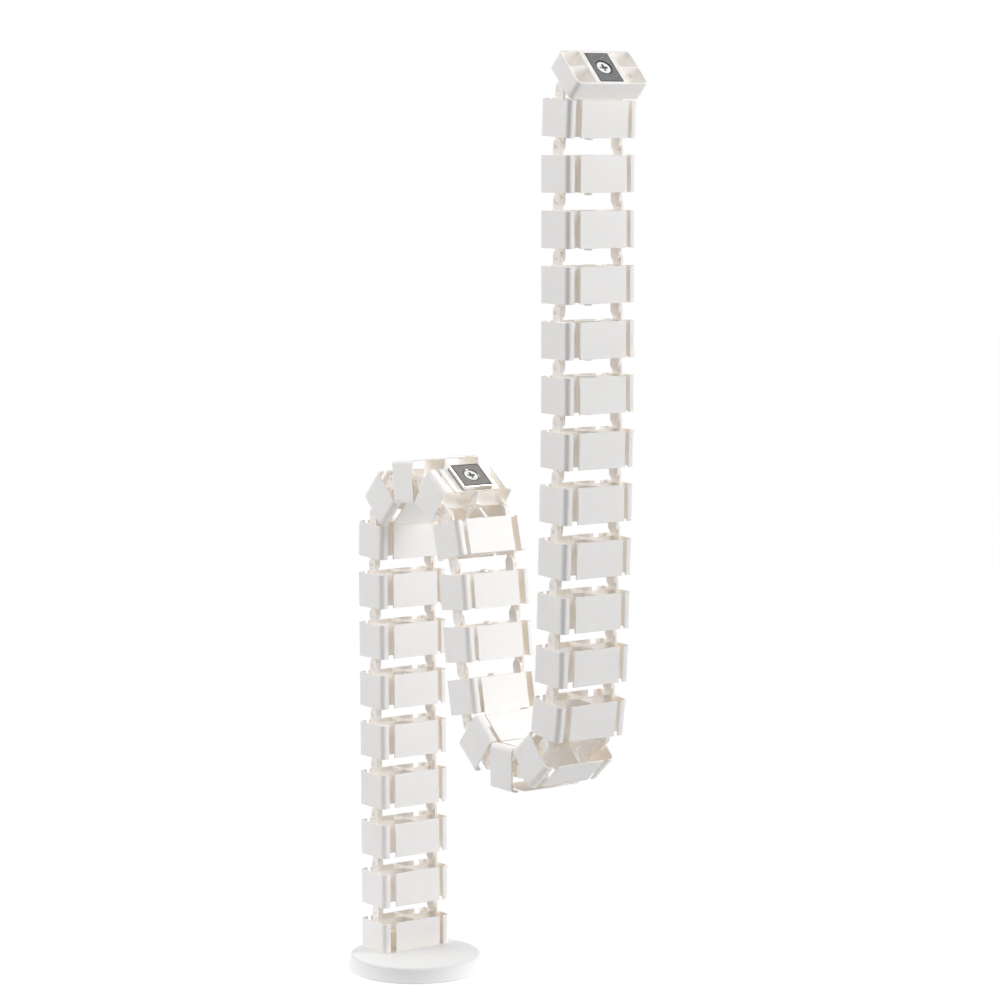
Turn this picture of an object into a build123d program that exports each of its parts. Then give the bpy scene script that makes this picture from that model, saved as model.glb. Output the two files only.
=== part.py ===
from build123d import *
import os

# A snap-together cable spine: slotted plastic links, hinged one to the next, that
# stand on a round weighted foot and end in a magnet that holds under a desk top.
# Millimetres. X runs along the hinge pins, Z is up, and the chain steps towards -Y.
# The origin is the centre of the foot's underside.

# Link sleeve
PITCH = 40.0
LINK_WIDTH = 63.8
LINK_DEPTH = 34.0
BODY_HEIGHT = 26.9
WALL = 1.2
CORNER_RADIUS = 3.7
RETURN_WIDTH = 6.5
SLOT_WIDTH = 4.5
PLATE_SHIFT = 1.1

# Cross of ribs inside each sleeve
RIB = 1.0
RIB_FLARE = 10.0
HUB_HALF = 3.1
HUB_BORE_RADIUS = 1.5
HUB_NOSE_RADIUS = 3.0
HUB_NOSE = 2.0

# Snap hinge
PIVOT_BELOW_BODY = 5.6
LUG_RADIUS = 4.8
LUG_THICKNESS = 2.0
LUG_ROOT = 9.0
LUG_INSET = 7.7
LUG_PLAY = 0.2
PIN_RADIUS = 2.6
PIN_CLEARANCE = 0.06
PIN_LEAD = 1.3
PIN_FLAT = 0.6

# Foot
FOOT_RADIUS = 53.4
FOOT_TAPER = 1.8
FOOT_HEIGHT = 12.0
FOOT_EDGE_RADIUS = 2.4
FOOT_LIFT = 0.4
PAD_INSET = 0.8
PAD_THICKNESS = 1.0
COLUMN_X = 8.0
COLUMN_Y = 26.5
BASE_BODY_HEIGHT = 23.3

# Screws that hold the first link on the foot
FOOT_SCREW_X = 14.0
FOOT_SCREW_RADIUS = 2.0
FOOT_SCREW_HEAD_RADIUS = 4.0
FOOT_SCREW_HEAD_HEIGHT = 2.3
FOOT_SCREW_GRIP = 11.0
FOOT_BOSS_RADIUS = 3.9
SCREW_CLEARANCE = 0.05
BOSS_END_GAP = 1.5

# Magnets, each held by one countersunk screw
CLIP_MAGNET_WIDTH = 27.0
CLIP_MAGNET_LENGTH = 25.8
CLIP_MAGNET_THICKNESS = 4.2
CLIP_MAGNET_EDGE = 1.0
END_MAGNET_WIDTH = 20.8
END_MAGNET_DEPTH = 28.6
END_MAGNET_THICKNESS = 4.2
END_MAGNET_EDGE = 0.3
MAGNET_PLAY = 0.15
EDGE_SHARE = 0.95
COUNTERSINK_RADIUS = 6.8
COUNTERSINK_DEPTH = 3.0
MAGNET_HEAD_RADIUS = 6.2
MAGNET_SCREW_RADIUS = 2.0
MAGNET_HOLE_RADIUS = 2.4
MAGNET_SCREW_GRIP = 8.0
MAGNET_BOSS_RADIUS = 3.8
CROSS_LENGTH = 6.4
CROSS_WIDTH = 1.5
CROSS_DEPTH = 1.5

# End piece
END_BODY_HEIGHT = 15.0
END_PIVOT_BELOW_BODY = 6.9
END_FLOOR = 1.8
POCKET_FRAME = 3.9
GROOVE_INSET = 1.5
GROOVE_WIDTH = 0.7

# How far each link turns at its hinge from the one below it, in degrees, towards -Y
STRAIGHT_UP = [-0.5, 0, 0, 0, 0, 0, -0.5, 3.5]
TOP_BEND = [41.5, 42, 39.5, 40]
HANGING = [8, -1, -3.5]
LOWER_BEND = [-39, -40, -40.5, -41.5]
RISING = [-5, -1, 0.5, -1, 0, -1.5, 0, 0, 0, 0, 3.5]
END_TURN = [42]
TURNS = STRAIGHT_UP + TOP_BEND + HANGING + LOWER_BEND + RISING + END_TURN
CLIP_LINK = len(STRAIGHT_UP + TOP_BEND)

BODY_TOP = PIVOT_BELOW_BODY + BODY_HEIGHT
INNER_LUG_X = LINK_WIDTH / 2 - LUG_INSET
OUTER_LUG_X = INNER_LUG_X + LUG_THICKNESS + LUG_PLAY
RETURN_END_X = LINK_WIDTH / 2 - RETURN_WIDTH
PLATE_Y = LINK_DEPTH / 2
FOOT_TOP_RADIUS = FOOT_RADIUS - FOOT_TAPER
PAD_RADIUS = FOOT_RADIUS - PAD_INSET
SINK_SLOPE = (COUNTERSINK_RADIUS - MAGNET_HOLE_RADIUS) / COUNTERSINK_DEPTH


def both_sides(solid):
    """The solid and its mirror image across the middle of the link."""
    return solid + mirror(solid, about=Plane.YZ)


def ring_section():
    """The closed outline of a link, a rounded box of one wall thickness."""
    outside = RectangleRounded(LINK_WIDTH, LINK_DEPTH, CORNER_RADIUS)
    inside = RectangleRounded(LINK_WIDTH - 2 * WALL, LINK_DEPTH - 2 * WALL, CORNER_RADIUS - WALL)
    return outside - inside


def cable_slot(side, face):
    """One slot of the outline: each plate stands a little to one side, so two slots are wider."""
    width = SLOT_WIDTH + side * face * PLATE_SHIFT
    middle = side * (RETURN_END_X - width / 2)
    return Pos(middle, face * (PLATE_Y - WALL / 2)) * Rectangle(width, 2 * WALL)


def slotted_section():
    """The outline cut by four cable slots, which leave two side walls and two plates."""
    return ring_section() - [cable_slot(side, face) for side in (-1, 1) for face in (-1, 1)]


def rib_section():
    """The cross that joins walls and plates, drawn out wide where its ribs meet."""
    end_x = (LINK_WIDTH - WALL) / 2
    end_y = (LINK_DEPTH - WALL) / 2
    quarter = [(end_x, RIB / 2), (RIB_FLARE, RIB / 2), (HUB_HALF, HUB_HALF), (RIB / 2, end_y)]
    points = (
        quarter
        + [(-x, y) for x, y in reversed(quarter)]
        + [(-x, -y) for x, y in quarter]
        + [(x, -y) for x, y in reversed(quarter)]
    )
    return Polygon(*points, align=None) - Circle(HUB_BORE_RADIUS)


def sleeve(bottom, height):
    """The slotted body of a link, from its lower edge up."""
    return Pos(0, 0, bottom) * extrude(slotted_section() + rib_section(), height)


def lug(inner_x, pivot_z, root_z):
    """A flat ear with a round end about the pivot, rooted in the sleeve."""
    shank = Pos(0, (pivot_z + root_z) / 2) * Rectangle(2 * LUG_RADIUS, abs(pivot_z - root_z))
    outline = shank + Pos(0, pivot_z) * Circle(LUG_RADIUS)
    return extrude(Plane.YZ.offset(inner_x) * outline, LUG_THICKNESS)


def lower_lugs(body_bottom):
    """The pair that hangs below a link, each with a pin that is sloped to snap in."""
    pin_end = OUTER_LUG_X + LUG_THICKNESS
    pin_start = INNER_LUG_X + LUG_THICKNESS
    pin = extrude(Plane.YZ.offset(pin_start) * Circle(PIN_RADIUS), pin_end - pin_start)
    lead = Polygon(
        (pin_end, PIN_FLAT), (pin_end, -PIN_RADIUS), (pin_end - PIN_LEAD, -PIN_RADIUS), align=None
    )
    pin -= extrude(Plane.XZ * lead, PIN_RADIUS, both=True)
    return both_sides(lug(INNER_LUG_X, 0, body_bottom + LUG_ROOT) + pin)


def upper_lugs():
    """The outer pair that rises above a link, each with the hole for the next link's pin."""
    ear = lug(OUTER_LUG_X, PITCH, BODY_TOP - LUG_ROOT)
    hole = Plane.YZ.offset(OUTER_LUG_X) * Pos(0, PITCH) * Circle(PIN_RADIUS + PIN_CLEARANCE)
    return both_sides(ear - extrude(hole, LUG_THICKNESS))


def hub_nose():
    """The short tube that the hub stands out by below the sleeve."""
    nose = Circle(HUB_NOSE_RADIUS) - Circle(HUB_BORE_RADIUS)
    return Pos(0, 0, PIVOT_BELOW_BODY - HUB_NOSE) * extrude(nose, HUB_NOSE)


def plain_link():
    """One link of the chain, with its lower pivot at the origin."""
    body = sleeve(PIVOT_BELOW_BODY, BODY_HEIGHT)
    return body + lower_lugs(PIVOT_BELOW_BODY) + upper_lugs() + hub_nose()


def base_link():
    """The first link, cut shorter, with two screw bosses on its cross rib."""
    bottom = BODY_TOP - BASE_BODY_HEIGHT
    boss_height = FOOT_SCREW_GRIP + BOSS_END_GAP
    boss = Pos(FOOT_SCREW_X, 0, bottom) * extrude(Circle(FOOT_BOSS_RADIUS), boss_height)
    hole = Pos(FOOT_SCREW_X, 0, bottom) * extrude(
        Circle(FOOT_SCREW_RADIUS + SCREW_CLEARANCE), FOOT_SCREW_GRIP + SCREW_CLEARANCE
    )
    return sleeve(bottom, BASE_BODY_HEIGHT) + upper_lugs() + both_sides(boss) - both_sides(hole)


def clip_link():
    """A link with a screw boss behind one plate, for the magnet that sits on that plate."""
    inward = plate_middle() * Rot(180, 0, 0)
    boss = inward * extrude(Circle(MAGNET_BOSS_RADIUS), PLATE_Y - RIB)
    hole = inward * extrude(Circle(MAGNET_SCREW_RADIUS + SCREW_CLEARANCE), MAGNET_SCREW_GRIP)
    bore = extrude(Circle(HUB_BORE_RADIUS), BODY_TOP)
    return plain_link() + boss - bore - hole


def plate_middle():
    """The middle of a link's rear plate, facing out."""
    return Pos(-PLATE_SHIFT, PLATE_Y, PIVOT_BELOW_BODY + BODY_HEIGHT / 2) * Rot(-90, 0, 0)


def end_link():
    """The closed last piece, with a framed pocket for its magnet between four cable bays."""
    top = END_PIVOT_BELOW_BODY + END_BODY_HEIGHT
    pocket_width = END_MAGNET_WIDTH + 2 * MAGNET_PLAY
    pocket_depth = END_MAGNET_DEPTH + 2 * MAGNET_PLAY
    seat = top - END_MAGNET_THICKNESS
    frame_width = pocket_width + 2 * POCKET_FRAME
    block = Rectangle(frame_width, LINK_DEPTH - WALL)
    hollow = Rectangle(frame_width - 2 * WALL, LINK_DEPTH)
    walls = ring_section() + Rectangle(LINK_WIDTH - WALL, RIB) + (block - hollow)
    body = Pos(0, 0, END_PIVOT_BELOW_BODY) * extrude(walls, END_BODY_HEIGHT)
    body += Pos(0, 0, seat - END_FLOOR) * extrude(block, END_FLOOR + END_MAGNET_THICKNESS)
    groove_x = frame_width / 2 - GROOVE_INSET - GROOVE_WIDTH / 2
    recess = Rectangle(pocket_width, pocket_depth)
    for side in (-1, 1):
        recess += Pos(side * groove_x, 0) * Rectangle(GROOVE_WIDTH, pocket_depth)
    body -= Pos(0, 0, seat) * extrude(recess, END_MAGNET_THICKNESS)
    down = Pos(0, 0, seat) * Rot(180, 0, 0)
    body += down * extrude(Circle(MAGNET_BOSS_RADIUS), MAGNET_SCREW_GRIP)
    body -= down * extrude(Circle(MAGNET_SCREW_RADIUS + SCREW_CLEARANCE), MAGNET_SCREW_GRIP)
    return body + lower_lugs(END_PIVOT_BELOW_BODY)


def magnet(width, length, thickness, edge):
    """A plated block with rounded upper edges and a countersunk hole, its back on the XY plane."""
    block = extrude(RectangleRounded(width, length, edge), thickness)
    block = fillet(block.faces().sort_by(Axis.Z)[-1].edges(), edge * EDGE_SHARE)
    cone = Pos(0, 0, thickness - COUNTERSINK_DEPTH / 2) * Cone(
        MAGNET_HOLE_RADIUS, COUNTERSINK_RADIUS, COUNTERSINK_DEPTH
    )
    return block - cone - extrude(Circle(MAGNET_HOLE_RADIUS), thickness)


def magnet_screw(thickness):
    """A cross-head screw in its magnet's countersink, in the magnet's own place."""
    top = thickness - (COUNTERSINK_RADIUS - MAGNET_HEAD_RADIUS) / SINK_SLOPE
    depth = (MAGNET_HEAD_RADIUS - MAGNET_SCREW_RADIUS) / SINK_SLOPE
    head = Pos(0, 0, top - depth / 2) * Cone(MAGNET_SCREW_RADIUS, MAGNET_HEAD_RADIUS, depth)
    tip = SCREW_CLEARANCE - MAGNET_SCREW_GRIP
    shank = Pos(0, 0, tip) * extrude(Circle(MAGNET_SCREW_RADIUS), top - depth - tip)
    cross = Rectangle(CROSS_LENGTH, CROSS_WIDTH) + Rectangle(CROSS_WIDTH, CROSS_LENGTH)
    return head + shank - Pos(0, 0, top - CROSS_DEPTH) * extrude(cross, CROSS_DEPTH)


def foot_plate():
    """The heavy disc, slightly tapered, with a rounded rim and two countersunk holes."""
    seat = PAD_THICKNESS
    section = Polygon(
        (0, seat),
        (PAD_RADIUS + SCREW_CLEARANCE, seat),
        (PAD_RADIUS + SCREW_CLEARANCE, FOOT_LIFT),
        (FOOT_RADIUS, FOOT_LIFT),
        (FOOT_TOP_RADIUS, FOOT_HEIGHT),
        (0, FOOT_HEIGHT),
        align=None,
    )
    rim = section.vertices().sort_by_distance((FOOT_TOP_RADIUS, FOOT_HEIGHT))[0]
    section = fillet(rim, FOOT_EDGE_RADIUS)
    disc = revolve(Plane.XZ * section, Axis.Z)
    for side in (-1, 1):
        place = Pos(COLUMN_X + side * FOOT_SCREW_X, COLUMN_Y, PAD_THICKNESS)
        disc -= place * Pos(0, 0, FOOT_SCREW_HEAD_HEIGHT / 2) * Cone(
            FOOT_SCREW_HEAD_RADIUS, FOOT_SCREW_RADIUS + SCREW_CLEARANCE, FOOT_SCREW_HEAD_HEIGHT
        )
        disc -= place * extrude(Circle(FOOT_SCREW_RADIUS + SCREW_CLEARANCE), FOOT_HEIGHT)
    return disc


def foot_screw():
    """A countersunk screw, head down, its flat head on the XY plane."""
    head = Pos(0, 0, FOOT_SCREW_HEAD_HEIGHT / 2) * Cone(
        FOOT_SCREW_HEAD_RADIUS, FOOT_SCREW_RADIUS, FOOT_SCREW_HEAD_HEIGHT
    )
    length = FOOT_HEIGHT - PAD_THICKNESS + FOOT_SCREW_GRIP
    return head + extrude(Circle(FOOT_SCREW_RADIUS), length)


def link_places():
    """The place of every link along the standing chain, from the first to the last."""
    start_z = FOOT_HEIGHT - (BODY_TOP - BASE_BODY_HEIGHT)
    place = Pos(COLUMN_X, COLUMN_Y, start_z)
    places = [place]
    for turn in TURNS:
        place = place * Pos(0, 0, PITCH) * Rot(turn, 0, 0)
        places.append(place)
    return places


def save(name, solid, place=Pos(0, 0, 0)):
    """Write one piece to its own file, as a single solid."""
    export_step((place * solid).solid(), f"parts/{name}.step")


def main():
    os.makedirs("parts", exist_ok=True)
    places = link_places()
    common = plain_link()
    for number, place in enumerate(places[:-1], start=1):
        shape = {1: base_link, CLIP_LINK: clip_link}.get(number, lambda: common)()
        save(f"link_{number:02d}", shape, place)
    save("end_link", end_link(), places[-1])

    save("foot_plate", foot_plate())
    save("foot_pad", extrude(Circle(PAD_RADIUS), PAD_THICKNESS))
    for side, name in ((-1, "left"), (1, "right")):
        place = Pos(COLUMN_X + side * FOOT_SCREW_X, COLUMN_Y, PAD_THICKNESS)
        save(f"foot_screw_{name}", foot_screw(), place)

    on_plate = places[CLIP_LINK - 1] * plate_middle()
    clip_sizes = (CLIP_MAGNET_WIDTH, CLIP_MAGNET_LENGTH, CLIP_MAGNET_THICKNESS, CLIP_MAGNET_EDGE)
    save("clip_magnet", magnet(*clip_sizes), on_plate)
    save("clip_magnet_screw", magnet_screw(CLIP_MAGNET_THICKNESS), on_plate)

    seat = END_PIVOT_BELOW_BODY + END_BODY_HEIGHT - END_MAGNET_THICKNESS
    in_pocket = places[-1] * Pos(0, 0, seat)
    end_sizes = (END_MAGNET_WIDTH, END_MAGNET_DEPTH, END_MAGNET_THICKNESS, END_MAGNET_EDGE)
    save("end_magnet", magnet(*end_sizes), in_pocket)
    save("end_magnet_screw", magnet_screw(END_MAGNET_THICKNESS), in_pocket)


main()
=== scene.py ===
"""The looks of a white cable spine on a round foot: finishes, light and camera."""

import math

import bpy
from bpy.props import FloatProperty, FloatVectorProperty, PointerProperty
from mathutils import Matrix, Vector


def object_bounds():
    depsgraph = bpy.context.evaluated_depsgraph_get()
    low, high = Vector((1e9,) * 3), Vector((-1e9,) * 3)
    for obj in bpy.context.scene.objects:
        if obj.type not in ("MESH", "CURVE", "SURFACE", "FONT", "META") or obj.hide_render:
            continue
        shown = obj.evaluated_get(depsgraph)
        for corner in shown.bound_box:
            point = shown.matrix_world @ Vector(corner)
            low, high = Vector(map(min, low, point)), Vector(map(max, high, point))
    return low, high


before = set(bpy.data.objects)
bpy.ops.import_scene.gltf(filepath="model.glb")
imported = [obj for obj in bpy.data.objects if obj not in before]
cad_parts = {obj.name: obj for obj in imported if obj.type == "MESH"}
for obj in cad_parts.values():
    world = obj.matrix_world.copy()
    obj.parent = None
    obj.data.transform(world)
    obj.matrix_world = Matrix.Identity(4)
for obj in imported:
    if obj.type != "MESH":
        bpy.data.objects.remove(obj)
CAD_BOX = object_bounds()

bl_info = {
    "name": "Cable spine looks",
    "version": (1, 0, 0),
    "blender": (4, 5, 0),
    "location": "3D View > Sidebar > Cable Spine",
    "description": "Finishes, light and camera for a hinged cable spine on a weighted foot",
    "category": "Object",
}

MILLIMETRE = 0.001
HINGE_AXIS = Vector((1.0, 0.0, 0.0))
WHITE = (1.0, 1.0, 1.0)
BLACK = (0.0, 0.0, 0.0)

# How finely the shader looks around a point for shade and for edges.
SHADE_SAMPLES = 12
EDGE_SAMPLES = 6

# How sharply the masks of edges, sides and borders change from 0 to 1.
MOULDED_EDGE_GAIN = 8.0
HEAD_EDGE_GAIN = 30.0
SIDE_GAIN = 5.0
BORDER_FADE = 0.3 * MILLIMETRE

# The painted shade where two pieces meet: its reach in edge lines and its sharpness.
CREVICE_REACH = 3.0
CREVICE_SHARPNESS = 3.0

# Light that passes into the plastic: how far red, green and blue spread, and how deep.
GLOW_SPREAD = (1.0, 0.72, 0.5)
GLOW_DEPTH = 1.5 * MILLIMETRE

# The finest grain that the panel allows, since a noise's scale is one over its grain.
SMALLEST_GRAIN = 0.01 * MILLIMETRE

# Sizes of a finish's clouds and grain, as multiples of the size that the panel names.
FOOT_CLOUD_SIZE = 3.0
RUBBER_GRAIN_DEPTH = 2.0
MAGNET_CLOUD_SIZE = 14.0

# Noise below the first stop is bare plate and above the second is a full speck.
SPECK_STOPS = ((0.5, 0.0), (0.66, 1.0))

# The brush marks run across X, so their noise is drawn out along Y and Z.
BRUSH_STRETCH = (1.0, 0.08, 0.08)

# How far the painted shade of a screw's recess reaches from its walls.
RECESS_REACH = 1.5 * MILLIMETRE

# The room darkens from this much towards the camera, this fast.
FRONT_START = 0.1
FRONT_GAIN = 1.6

# The soft boxes: name, place and width.
SOFT_BOXES = (
    ("right_box", (1.75, -1.65, 1.25), 1.3),
    ("left_box", (-2.0, 0.95, 1.2), 1.3),
    ("top_box", (-0.2, 0.3, 2.6), 1.5),
)
FLOOR_SIZE = 12.0
SENSOR_WIDTH = 36.0

# Numbers of the Mix node's sockets when it mixes colours.
MIX_FACTOR, MIX_FIRST, MIX_SECOND, MIX_RESULT = 0, 6, 7, 2


class Wire:
    """One output socket, so that sums on it can be written as plain Python."""

    def __init__(self, finish, socket):
        self.finish = finish
        self.socket = socket

    def math(self, operation, *values):
        return self.finish.math(operation, *values)

    def __add__(self, other):
        return self.math("ADD", self, other)

    def __radd__(self, other):
        return self.math("ADD", other, self)

    def __sub__(self, other):
        return self.math("SUBTRACT", self, other)

    def __rsub__(self, other):
        return self.math("SUBTRACT", other, self)

    def __mul__(self, other):
        return self.math("MULTIPLY", self, other)

    def __rmul__(self, other):
        return self.math("MULTIPLY", other, self)

    def __pow__(self, other):
        return self.math("POWER", self, other)

    def __abs__(self):
        return self.math("ABSOLUTE", self)

    def clamped(self):
        return self.math("MINIMUM", self.math("MAXIMUM", self, 0.0), 1.0)

    def joined(self, other):
        """1 where either of two masks is 1."""
        return self.math("MAXIMUM", self, other)

    def between(self, low, high):
        """The value moved from the range 0 to 1 into another one."""
        return self * (high - low) + low


class Finish:
    """The nodes of a material, or of the room when it is given the world."""

    def __init__(self, name, owner=None):
        self.material = owner or bpy.data.materials.new(name)
        self.material.use_nodes = True
        self.tree = self.material.node_tree
        self.tree.nodes.clear()
        self.place = self.node("ShaderNodeTexCoord", output="Object")

    def node(self, kind, settings=None, sockets=None, output=0):
        """Add a node: its settings first, then the values or links of its sockets."""
        made = self.tree.nodes.new(kind)
        for name, value in (settings or {}).items():
            if name == "stops":
                self.set_stops(made.color_ramp, value)
            else:
                setattr(made, name, value)
        for name, value in (sockets or {}).items():
            if isinstance(value, Wire):
                self.tree.links.new(value.socket, made.inputs[name])
            else:
                made.inputs[name].default_value = value
        return Wire(self, made.outputs[output]) if made.outputs else made

    @staticmethod
    def set_stops(ramp, stops):
        """Give a colour ramp its stops, each a position and a grey value."""
        while len(ramp.elements) < len(stops):
            ramp.elements.new(1.0)
        for element, (position, grey) in zip(ramp.elements, stops):
            element.position = position
            element.color = (grey, grey, grey, 1.0)

    def math(self, operation, *values):
        return self.node("ShaderNodeMath", {"operation": operation}, dict(enumerate(values)))

    def noise(self, grain, detail=2.0, stretch=None):
        """Soft noise from 0 to 1 whose features are about one grain across, in metres."""
        place = self.place
        if stretch:
            place = self.node("ShaderNodeMapping", {}, {"Vector": place, "Scale": stretch})
        sockets = {"Vector": place, "Scale": 1.0 / grain, "Detail": detail}
        return self.node("ShaderNodeTexNoise", {}, sockets, "Fac")

    def dot(self, first, second):
        """How far one vector reaches along another."""
        settings = {"operation": "DOT_PRODUCT"}
        return self.node("ShaderNodeVectorMath", settings, {0: first, 1: second}, "Value")

    def mix(self, kind, factor, first, second):
        """Two colours put together by a Mix node of one kind."""
        settings = {"data_type": "RGBA", "blend_type": kind}
        sockets = {MIX_FACTOR: factor, MIX_FIRST: first, MIX_SECOND: second}
        return self.node("ShaderNodeMix", settings, sockets, MIX_RESULT)

    def blend(self, factor, first, second):
        """A colour that goes from the first to the second as the factor goes from 0 to 1."""
        return self.mix("MIX", factor, first, second)

    def tinted(self, colour, amount):
        """A colour made lighter or darker by an amount near 1."""
        channels = dict.fromkeys(("Red", "Green", "Blue"), amount)
        grey = self.node("ShaderNodeCombineColor", {}, channels)
        return self.mix("MULTIPLY", 1.0, colour, grey)

    def darkened(self, colour, mask, share):
        """A colour that loses a share of its light where a mask is 1."""
        return self.tinted(colour, 1.0 - mask * share)

    def openness(self, reach):
        """How open the surface is: 1 in the open, 0 in a deep corner."""
        settings = {"samples": SHADE_SAMPLES}
        return self.node("ShaderNodeAmbientOcclusion", settings, {"Distance": reach}, "AO")

    def painted_crevice_shade(self, line):
        """Painted shade: a share of light that drops quickly where two pieces meet, over a few edge
        lines.
        """
        return self.openness(line * CREVICE_REACH) ** CREVICE_SHARPNESS

    def edge(self, softness):
        """A normal that rounds every edge over a small radius."""
        settings = {"samples": EDGE_SAMPLES}
        return self.node("ShaderNodeBevel", settings, {"Radius": softness}, "Normal")

    def edge_mask(self, softness, gain):
        """1 where the surface turns at an edge, 0 on flat ground."""
        flat = self.node("ShaderNodeNewGeometry", output="Normal")
        return ((1.0 - self.dot(self.edge(softness), flat)) * gain).clamped()

    def side(self, plate):
        """1 on a plate's sides, 0 on its two broad faces."""
        normal = self.node("ShaderNodeTexCoord", output="Normal")
        return ((1.0 - abs(self.dot(normal, plate.face))) * SIDE_GAIN).clamped()

    def offsets(self, plate):
        """How far a point is from a plate's middle, along each of the plate's two directions."""
        for direction, middle in zip(plate.directions, plate.middles):
            yield abs(self.dot(self.place, direction) - middle)

    def past(self, distance):
        """0 before a border and 1 past it, from the distance past it, with a short fade."""
        return (distance * (1.0 / BORDER_FADE)).clamped()

    def border(self, plate, inset):
        """1 in a band along a plate's border, 0 further in than the inset."""
        along, across = self.offsets(plate)
        half_length, half_width = plate.halves
        past_length = self.past(along - half_length + inset)
        past_width = self.past(across - half_width + inset)
        return past_length.joined(past_width)

    def rim(self, plate, radius):
        """1 further than a radius from a plate's middle, 0 within it."""
        along, across = self.offsets(plate)
        away = (along * along + across * across) ** 0.5
        return self.past(away - radius)

    def bump(self, height, depth, normal):
        """A normal roughened by a height from 0 to 1, as deep as the depth, in metres."""
        sockets = {"Height": height, "Distance": depth, "Strength": 1.0, "Normal": normal}
        return self.node("ShaderNodeBump", {}, sockets, "Normal")

    def emission(self, colour, strength):
        """A shader that gives light."""
        return self.node("ShaderNodeEmission", {}, {"Color": colour, "Strength": strength})

    def surface(self, sockets):
        """The surface shader and the material's output."""
        self.show(self.node("ShaderNodeBsdfPrincipled", {}, sockets))
        return self.material

    def show(self, shader):
        self.node("ShaderNodeOutputMaterial", {}, {"Surface": shader})

    def seen_directly(self):
        """1 where the camera or a mirror sees this, 0 where it only gives light."""
        rays = ("Is Camera Ray", "Is Glossy Ray", "Is Transmission Ray")
        camera, glossy, clear = [self.node("ShaderNodeLightPath", output=ray) for ray in rays]
        return (camera + glossy + clear).clamped()


class Plate:
    """The broad face of a magnet or a screw: where it looks, its middle and its half sizes."""

    def __init__(self, node):
        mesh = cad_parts[node].data
        self.face = max(mesh.polygons, key=lambda polygon: polygon.area).normal.copy()
        self.directions = (HINGE_AXIS, self.face.cross(HINGE_AXIS))
        self.middles, self.halves = [], []
        for direction in self.directions:
            reaches = [point.co.dot(direction) for point in mesh.vertices]
            self.middles.append((max(reaches) + min(reaches)) / 2)
            self.halves.append((max(reaches) - min(reaches)) / 2)


def rgba(colour):
    """A colour property as a socket's four numbers."""
    return (*colour, 1.0)


def plastic(name, looks, painted_through_glow):
    """Satin white moulded plastic, with painted warm shade where its thin walls lie close and a
    painted highlight along its edges.

    A faint emission paints a warm glow deep between the walls, in place of the little light that
    comes through them.
    """
    finish = Finish(name)
    mottle = finish.noise(looks.mottle_size, detail=3.0)
    grain = finish.noise(looks.grain_size, detail=1.0)
    # Painted shade: the colour turns to the warm shade colour where close walls hide the room.
    depth = ((1.0 - finish.openness(looks.painted_shade_reach)) * looks.painted_shade_strength).clamped()
    # Painted highlight: the edges are painted whiter than the plastic.
    rim = finish.edge_mask(looks.edge_softness, MOULDED_EDGE_GAIN) * looks.painted_edge_highlight
    colour = finish.blend(rim, rgba(looks.plastic_colour), rgba(WHITE))
    colour = finish.blend(depth, colour, rgba(looks.painted_shade_colour))
    colour = finish.tinted(colour, mottle.between(0.985, 1.015))
    normal = finish.bump(grain, looks.grain_depth, finish.edge(looks.edge_softness))
    return finish.surface({
        "Base Color": colour,
        # Painted glow: a warm emission deep between the walls, though the plastic is no lamp.
        "Emission Color": finish.blend(depth, rgba(BLACK), rgba(painted_through_glow)),
        "Emission Strength": 1.0,
        "Roughness": mottle.between(0.36, 0.46),
        "Normal": normal,
        "Subsurface Weight": looks.glow,
        "Subsurface Radius": GLOW_SPREAD,
        "Subsurface Scale": GLOW_DEPTH,
    })


def coated_steel(looks):
    """White powder coat with a fine orange peel."""
    finish = Finish("foot_powder_coat")
    peel = finish.noise(looks.peel_size, detail=2.0)
    cloud = finish.noise(looks.mottle_size * FOOT_CLOUD_SIZE, detail=2.0)
    colour = finish.tinted(rgba(looks.foot_colour), cloud.between(0.99, 1.01))
    normal = finish.bump(peel, looks.peel_depth, finish.edge(looks.edge_softness))
    return finish.surface({
        "Base Color": colour,
        "Roughness": peel.between(0.5, 0.62),
        "Specular IOR Level": looks.foot_shine,
        "Normal": normal,
    })


def pad_rubber(looks):
    """Matt dark rubber with a fine moulded grain."""
    finish = Finish("foot_pad_rubber")
    grain = finish.noise(looks.peel_size, detail=3.0)
    colour = finish.tinted(rgba(looks.rubber_colour), grain.between(0.8, 1.2))
    depth = looks.peel_depth * RUBBER_GRAIN_DEPTH
    return finish.surface({
        "Base Color": colour,
        "Roughness": grain.between(0.8, 0.9),
        "Normal": finish.bump(grain, depth, finish.edge(looks.edge_softness)),
    })


def bright_nickel(looks, plate):
    """Nickel plate, grey and slightly brushed on its broad faces and polished round its sides,
    whose near white is partly a painted reflection.

    A painted dark line runs along the border of the broad face, for the dark that its rounded edge
    mirrors, and painted shade rings the screw's hole.
    """
    finish = Finish("clip_magnet_nickel")
    brushed = finish.noise(looks.brush_size, detail=2.0, stretch=BRUSH_STRETCH)
    side = finish.side(plate)
    # Painted dark reflection along the face's border and painted shade round the screw's hole.
    border = finish.border(plate, looks.bevel + looks.edge_line) * (1.0 - side)
    painted_gap_shade = 1.0 - finish.rim(plate, looks.head_radius + looks.edge_line)
    grey = finish.tinted(rgba(looks.clip_magnet_colour), brushed.between(0.92, 1.08))
    # Painted reflection: the sides are painted near white, partly for their polish and partly for
    # the pale things they mirror.
    colour = finish.blend(side, grey, rgba(looks.painted_side_reflection_colour))
    colour = finish.darkened(colour, border.joined(painted_gap_shade), share=0.75)
    # Painted shade where the magnet meets other pieces.
    colour = finish.tinted(colour, finish.painted_crevice_shade(looks.edge_line))
    return finish.surface({
        "Base Color": colour,
        "Metallic": 1.0,
        "Roughness": brushed.between(0.34, 0.42) * side.between(1.0, 0.25),
        "Normal": finish.bump(brushed, looks.brush_depth, finish.edge(looks.plate_edge)),
    })


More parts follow.
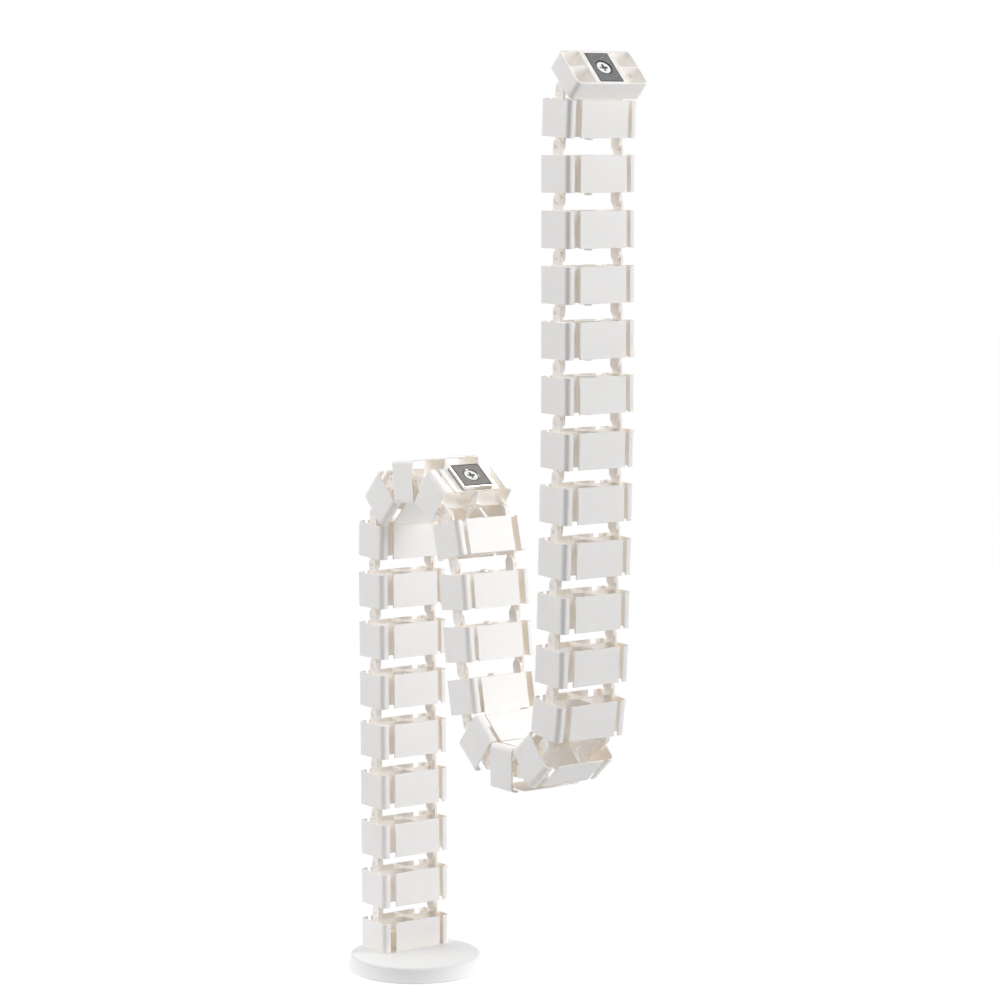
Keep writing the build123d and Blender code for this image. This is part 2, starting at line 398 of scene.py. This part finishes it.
def dark_nickel(looks, plate):
    """Darker plate with a fine light speckle, with painted shade along its border and round its
    hole.
    """
    finish = Finish("end_magnet_nickel")
    speck = finish.noise(looks.speck_size, detail=4.0)
    cloud = finish.noise(looks.speck_size * MAGNET_CLOUD_SIZE, detail=2.0)
    light = finish.node("ShaderNodeValToRGB", {"stops": SPECK_STOPS}, {"Fac": speck}, "Color")
    specks = finish.node("ShaderNodeRGBToBW", {}, {"Color": light}, "Val") * looks.speck_strength
    colour = finish.blend(specks, rgba(looks.end_magnet_colour), rgba(looks.speck_colour))
    colour = finish.tinted(colour, cloud.between(0.85, 1.15))
    # Painted shade along the face's border and round the screw's hole.
    border = finish.border(plate, looks.edge_line)
    painted_gap_shade = 1.0 - finish.rim(plate, looks.head_radius + looks.edge_line)
    colour = finish.darkened(colour, border.joined(painted_gap_shade), share=0.85)
    # Painted shade where the magnet meets other pieces.
    colour = finish.tinted(colour, finish.painted_crevice_shade(looks.edge_line))
    normal = finish.bump(speck, looks.speck_depth, finish.edge(looks.plate_edge))
    return finish.surface({
        "Base Color": colour,
        "Metallic": 0.85,
        "Roughness": speck.between(0.42, 0.54),
        "Normal": normal,
    })


def bright_zinc(looks, plate):
    """Bright plated screw steel with faint turning marks, with painted shade in its recess and a
    painted dark line round its rim.
    """
    finish = Finish("screw_zinc")
    turned = finish.noise(looks.brush_size, detail=1.0)
    # Painted shade: a dark line along the head's edges and round its rim.
    edge = finish.edge_mask(looks.edge_line, HEAD_EDGE_GAIN)
    line = edge.joined(finish.rim(plate, looks.head_radius))
    # Painted shade in the screw's recess.
    colour = finish.tinted(rgba(looks.screw_colour), finish.openness(RECESS_REACH))
    return finish.surface({
        "Base Color": finish.darkened(colour, line, share=0.85),
        "Metallic": 1.0,
        "Roughness": turned.between(0.2, 0.32),
        "Normal": finish.bump(turned, looks.brush_depth, finish.edge(looks.plate_edge)),
    })


def dress(node, material):
    """Give a CAD node its finish."""
    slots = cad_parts[node].data.materials
    slots.clear()
    slots.append(material)


def nodes_named(start):
    """The names of the CAD nodes that begin with a word, in order."""
    return sorted(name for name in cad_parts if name.startswith(start))


class SpineLooks(bpy.types.PropertyGroup):
    """The colours and fine sizes of the spine's finishes."""

    plastic_colour: FloatVectorProperty(
        name="Plastic", description="Moulded plastic in the open",
        subtype="COLOR", size=3, min=0, max=1, default=(0.92, 0.905, 0.897))
    # Painted shade: the colour painted deep between the walls.
    painted_shade_colour: FloatVectorProperty(
        name="Plastic in shade", description="Moulded plastic deep between its walls",
        subtype="COLOR", size=3, min=0, max=1, default=(0.995, 0.955, 0.9))
    # Painted glow: warm emission deep inside the links.
    painted_through_glow: FloatVectorProperty(
        name="Light through the plastic",
        description="Warm light that thin walls let into a link's inside",
        subtype="COLOR", size=3, min=0, max=1, default=(0.175, 0.14, 0.098))
    # Painted glow: emission in the end piece's open bays.
    end_painted_through_glow: FloatVectorProperty(
        name="Light through the end", description="Light that the end piece's open bays let in",
        subtype="COLOR", size=3, min=0, max=1, default=(0.195, 0.193, 0.18))
    foot_colour: FloatVectorProperty(
        name="Foot", description="Powder coat of the foot",
        subtype="COLOR", size=3, min=0, max=1, default=(0.825, 0.825, 0.825))
    rubber_colour: FloatVectorProperty(
        name="Rubber pad", description="Pad under the foot",
        subtype="COLOR", size=3, min=0, max=1, default=(0.03, 0.03, 0.032))
    clip_magnet_colour: FloatVectorProperty(
        name="Bright magnet", description="Nickel plate of the magnet on the link",
        subtype="COLOR", size=3, min=0, max=1, default=(0.255, 0.246, 0.232))
    # Painted reflection: the near white of the polished sides stands partly for what they mirror.
    painted_side_reflection_colour: FloatVectorProperty(
        name="Plate edge", description="Nickel plate where it turns an edge",
        subtype="COLOR", size=3, min=0, max=1, default=(0.86, 0.83, 0.80))
    end_magnet_colour: FloatVectorProperty(
        name="Dark magnet", description="Plate of the magnet in the end piece",
        subtype="COLOR", size=3, min=0, max=1, default=(0.145, 0.145, 0.148))
    speck_colour: FloatVectorProperty(
        name="Speckle", description="Light specks on the dark magnet",
        subtype="COLOR", size=3, min=0, max=1, default=(0.42, 0.42, 0.43))
    screw_colour: FloatVectorProperty(
        name="Screws", description="Bright zinc of the screw heads",
        subtype="COLOR", size=3, min=0, max=1, default=(0.88, 0.88, 0.87))
    glow: FloatProperty(
        name="Glow", description="Share of light that passes into the plastic",
        subtype="FACTOR", min=0, max=1, default=0.12)
    foot_shine: FloatProperty(
        name="Foot shine", description="Strength of the powder coat's reflections",
        subtype="FACTOR", min=0, max=1, default=0.15)
    # Painted highlight: how much whiter the edges are painted.
    painted_edge_highlight: FloatProperty(
        name="White rims", description="How much whiter the plastic is along its edges",
        subtype="FACTOR", min=0, max=1, default=0.7)
    speck_strength: FloatProperty(
        name="Speck strength", description="How clearly the light specks stand out",
        subtype="FACTOR", min=0, max=1, default=0.6)
    edge_softness: FloatProperty(
        name="Edge softness", description="Radius that rounds the moulded edges",
        unit="LENGTH", min=0, default=0.35 * MILLIMETRE)
    plate_edge: FloatProperty(
        name="Plated edge", description="Radius that rounds the magnets' edges",
        unit="LENGTH", min=0, default=0.3 * MILLIMETRE)
    bevel: FloatProperty(
        name="Bevel", description="Width of the bright rounding of the magnet on the link",
        unit="LENGTH", min=0, default=1.0 * MILLIMETRE)
    head_radius: FloatProperty(
        name="Screw face", description="Radius of the bright part of a screw's head",
        unit="LENGTH", min=0, default=6.0 * MILLIMETRE)
    # The width of the painted dark lines along the magnets' and screws' edges.
    edge_line: FloatProperty(
        name="Edge line", description="Width of the dark line along the magnets' and screws' edges",
        unit="LENGTH", min=0, default=0.8 * MILLIMETRE)
    # Painted shade: how far from a close wall the warm shade is painted.
    painted_shade_reach: FloatProperty(
        name="Shade reach", description="How far a wall warms its neighbour",
        unit="LENGTH", min=0, default=16 * MILLIMETRE)
    # Painted shade: how strongly the warm shade is painted between close walls.
    painted_shade_strength: FloatProperty(
        name="Shade strength", description="How strongly close walls warm each other",
        min=0, max=3, default=0.9)
    grain_size: FloatProperty(
        name="Grain", description="Size of the mould's fine texture",
        unit="LENGTH", min=SMALLEST_GRAIN, default=0.6 * MILLIMETRE)
    grain_depth: FloatProperty(
        name="Grain depth", description="Depth of the mould's fine texture",
        unit="LENGTH", min=0, default=0.006 * MILLIMETRE)
    mottle_size: FloatProperty(
        name="Mottle", description="Size of the soft clouds in the plastic",
        unit="LENGTH", min=SMALLEST_GRAIN, default=22 * MILLIMETRE)
    peel_size: FloatProperty(
        name="Orange peel", description="Size of the powder coat's texture",
        unit="LENGTH", min=SMALLEST_GRAIN, default=1.1 * MILLIMETRE)
    peel_depth: FloatProperty(
        name="Orange peel depth", description="Depth of the powder coat's texture",
        unit="LENGTH", min=0, default=0.02 * MILLIMETRE)
    brush_size: FloatProperty(
        name="Brushing", description="Width of the marks in the nickel",
        unit="LENGTH", min=SMALLEST_GRAIN, default=0.35 * MILLIMETRE)
    brush_depth: FloatProperty(
        name="Brushing depth", description="Depth of the marks in the nickel",
        unit="LENGTH", min=0, default=0.003 * MILLIMETRE)
    speck_size: FloatProperty(
        name="Speck size", description="Size of the light specks on the dark magnet",
        unit="LENGTH", min=SMALLEST_GRAIN, default=0.8 * MILLIMETRE)
    speck_depth: FloatProperty(
        name="Speck depth", description="Depth of the specks on the dark magnet",
        unit="LENGTH", min=0, default=0.008 * MILLIMETRE)


class StudioSettings(bpy.types.PropertyGroup):
    """The camera's place and the studio's light."""

    camera_place: FloatVectorProperty(
        name="Camera", description="Where the camera stands",
        subtype="TRANSLATION", unit="LENGTH", size=3, default=(-1.4282, -2.1020, 0.6657))
    camera_turn: FloatProperty(
        name="Turn",
        description="Camera's turn about the vertical, from looking along +Y towards +X",
        subtype="ANGLE", default=math.radians(35.713))
    camera_dip: FloatProperty(
        name="Dip", description="How far the camera looks down",
        subtype="ANGLE", default=math.radians(6.526))
    lens: FloatProperty(
        name="Lens", description="Focal length on a 36 mm sensor, in millimetres",
        min=1, default=117.22)
    right_power: FloatProperty(
        name="Right box", description="Power of the soft box in front on the right, in watts",
        min=0, default=41)
    left_power: FloatProperty(
        name="Left box", description="Power of the soft box on the left, in watts",
        min=0, default=20)
    top_power: FloatProperty(
        name="Top box", description="Power of the soft box overhead, in watts",
        min=0, default=24)
    room_level: FloatProperty(
        name="Room", description="Light from the white room around the object",
        min=0, default=0.62)
    front_dark: FloatProperty(
        name="Dark front",
        description="Share of the room's light that is missing behind the camera",
        subtype="FACTOR", min=0, max=1, default=1.0)
    floor_level: FloatProperty(
        name="Floor glow", description="Brightness the floor shows the camera by itself",
        min=0, default=0.985)
    floor_shadow: FloatProperty(
        name="Floor shadow",
        description="Share of the floor's brightness that the object's shadow can take",
        subtype="FACTOR", min=0, max=1, default=0.06)
    floor_bounce: FloatProperty(
        name="Floor bounce",
        description="Light that the lit table sends up at the foot of the object",
        min=0, default=1.15)
    floor_reach: FloatProperty(
        name="Table reach", description="How far from the middle the table's light ends",
        unit="LENGTH", min=0.01, default=0.17)
    floor_colour: FloatVectorProperty(
        name="Floor", description="Colour of the pale floor",
        subtype="COLOR", size=3, min=0, max=1, default=(0.6, 0.6, 0.6))


class CABLESPINE_OT_links(bpy.types.Operator):
    """Finish every link in satin white plastic"""

    bl_idname = "cablespine.links"
    bl_label = "Finish links"

    def execute(self, context):
        looks = context.scene.spine_looks
        material = plastic("link_plastic", looks, looks.painted_through_glow)
        for name in nodes_named("link_"):
            dress(name, material)
        return {"FINISHED"}


class CABLESPINE_OT_end_piece(bpy.types.Operator):
    """Finish the tilted end piece"""

    bl_idname = "cablespine.end_piece"
    bl_label = "Finish end piece"

    def execute(self, context):
        looks = context.scene.spine_looks
        dress("end_link", plastic("end_plastic", looks, looks.end_painted_through_glow))
        return {"FINISHED"}


class CABLESPINE_OT_foot(bpy.types.Operator):
    """Finish the weighted foot and the pad under it"""

    bl_idname = "cablespine.foot"
    bl_label = "Finish foot"

    def execute(self, context):
        looks = context.scene.spine_looks
        dress("foot_plate", coated_steel(looks))
        dress("foot_pad", pad_rubber(looks))
        return {"FINISHED"}


class CABLESPINE_OT_magnets(bpy.types.Operator):
    """Finish the two magnets"""

    bl_idname = "cablespine.magnets"
    bl_label = "Finish magnets"

    def execute(self, context):
        looks = context.scene.spine_looks
        dress("clip_magnet", bright_nickel(looks, Plate("clip_magnet")))
        dress("end_magnet", dark_nickel(looks, Plate("end_magnet")))
        return {"FINISHED"}


class CABLESPINE_OT_screws(bpy.types.Operator):
    """Finish the screws of the magnets and the foot"""

    bl_idname = "cablespine.screws"
    bl_label = "Finish screws"

    def execute(self, context):
        looks = context.scene.spine_looks
        for magnet in ("clip_magnet", "end_magnet"):
            dress(f"{magnet}_screw", bright_zinc(looks, Plate(magnet)))
        for name in nodes_named("foot_screw"):
            dress(name, bright_zinc(looks, Plate(name)))
        return {"FINISHED"}


def add_lamp(name, place, aim, size, power):
    """A square soft lamp that looks at a point."""
    lamp = bpy.data.lights.new(name, "AREA")
    lamp.size = size
    lamp.energy = power
    holder = bpy.data.objects.new(name, lamp)
    holder.location = place
    holder.rotation_euler = (Vector(aim) - Vector(place)).to_track_quat("-Z", "Y").to_euler()
    bpy.context.scene.collection.objects.link(holder)


def camera_look(studio):
    """The direction in which the camera looks."""
    turn, dip = studio.camera_turn, studio.camera_dip
    return Vector((math.sin(turn) * math.cos(dip), math.cos(turn) * math.cos(dip), -math.sin(dip)))


def pale_floor(studio):
    """A floor that looks white from above and keeps the object's faint shadow."""
    finish = Finish("pale_floor")
    scale = [1 / studio.floor_reach] * 3
    near = finish.node("ShaderNodeMapping", {}, {"Vector": finish.place, "Scale": scale})
    settings = {"gradient_type": "SPHERICAL"}
    lit = finish.node("ShaderNodeTexGradient", settings, {"Vector": near}, "Color")
    bounce = finish.emission(lit, studio.floor_bounce)
    matt = finish.node("ShaderNodeBsdfDiffuse", {}, {"Color": rgba(studio.floor_colour)})
    table = finish.node("ShaderNodeAddShader", {}, {0: matt, 1: bounce})
    faint = [channel * studio.floor_shadow for channel in studio.floor_colour]
    shaded = finish.node("ShaderNodeBsdfDiffuse", {}, {"Color": rgba(faint)})
    glow = finish.emission(rgba(WHITE), studio.floor_level)
    shown = finish.node("ShaderNodeAddShader", {}, {0: glow, 1: shaded})
    sockets = {0: finish.seen_directly(), 1: table, 2: shown}
    finish.show(finish.node("ShaderNodeMixShader", {}, sockets))
    return finish.material


def white_room(studio):
    """A plain white room: white to look at, softer as a light and dark behind the camera."""
    world = bpy.data.worlds.new("white_room")
    room = Finish("white_room", world)
    towards_camera = room.dot(room.place, -camera_look(studio))
    front = ((towards_camera - FRONT_START) * FRONT_GAIN).clamped()
    dimmed = room.darkened(rgba(WHITE), front, share=studio.front_dark)
    light = room.node("ShaderNodeBackground", {}, {"Color": dimmed, "Strength": studio.room_level})
    look = room.node("ShaderNodeBackground", {}, {"Color": rgba(WHITE), "Strength": 1.0})
    mixed = room.node("ShaderNodeMixShader", {}, {0: room.seen_directly(), 1: light, 2: look})
    room.node("ShaderNodeOutputWorld", {}, {"Surface": mixed})
    bpy.context.scene.world = world


class CABLESPINE_OT_stage(bpy.types.Operator):
    """Build the pale floor, the white room, the soft lamps and the camera"""

    bl_idname = "cablespine.stage"
    bl_label = "Build stage"

    def execute(self, context):
        studio = context.scene.spine_studio
        low, high = CAD_BOX
        middle = (Vector(low) + Vector(high)) / 2
        bpy.ops.object.select_all(action="DESELECT")
        bpy.ops.mesh.primitive_plane_add(size=FLOOR_SIZE, location=(middle.x, middle.y, low[2]))
        floor = context.object
        floor.name = "floor"
        bpy.ops.object.transform_apply(location=True)
        floor.data.materials.append(pale_floor(studio))
        white_room(studio)
        powers = (studio.right_power, studio.left_power, studio.top_power)
        for (name, place, size), power in zip(SOFT_BOXES, powers):
            add_lamp(name, place, middle, size, power)
        self.add_camera(context, studio)
        context.scene.view_settings.view_transform = "Standard"
        return {"FINISHED"}

    def add_camera(self, context, studio):
        """Stand the camera where the photograph was taken from."""
        camera = bpy.data.cameras.new("camera")
        camera.sensor_width = SENSOR_WIDTH
        camera.lens = studio.lens
        holder = bpy.data.objects.new("camera", camera)
        holder.location = studio.camera_place
        holder.rotation_euler = camera_look(studio).to_track_quat("-Z", "Y").to_euler()
        context.scene.collection.objects.link(holder)
        context.scene.camera = holder


class CABLESPINE_PT_panel(bpy.types.Panel):
    """The cable spine's finishes, in the sidebar"""

    bl_label = "Cable spine"
    bl_idname = "CABLESPINE_PT_panel"
    bl_space_type = "VIEW_3D"
    bl_region_type = "UI"
    bl_category = "Cable Spine"

    def draw(self, context):
        for group in (context.scene.spine_looks, context.scene.spine_studio):
            column = self.layout.column()
            for name in group.__annotations__:
                column.prop(group, name)
        for operator in OPERATORS:
            self.layout.operator(operator.bl_idname)


OPERATORS = (
    CABLESPINE_OT_links,
    CABLESPINE_OT_end_piece,
    CABLESPINE_OT_foot,
    CABLESPINE_OT_magnets,
    CABLESPINE_OT_screws,
    CABLESPINE_OT_stage,
)
CLASSES = (SpineLooks, StudioSettings, *OPERATORS, CABLESPINE_PT_panel)


def register():
    for each in CLASSES:
        bpy.utils.register_class(each)
    bpy.types.Scene.spine_looks = PointerProperty(type=SpineLooks)
    bpy.types.Scene.spine_studio = PointerProperty(type=StudioSettings)


def unregister():
    del bpy.types.Scene.spine_studio
    del bpy.types.Scene.spine_looks
    for each in reversed(CLASSES):
        bpy.utils.unregister_class(each)


def main():
    register()
    bpy.ops.cablespine.links()
    bpy.ops.cablespine.end_piece()
    bpy.ops.cablespine.foot()
    bpy.ops.cablespine.magnets()
    bpy.ops.cablespine.screws()
    bpy.ops.cablespine.stage()


if __name__ == "__main__":
    main()
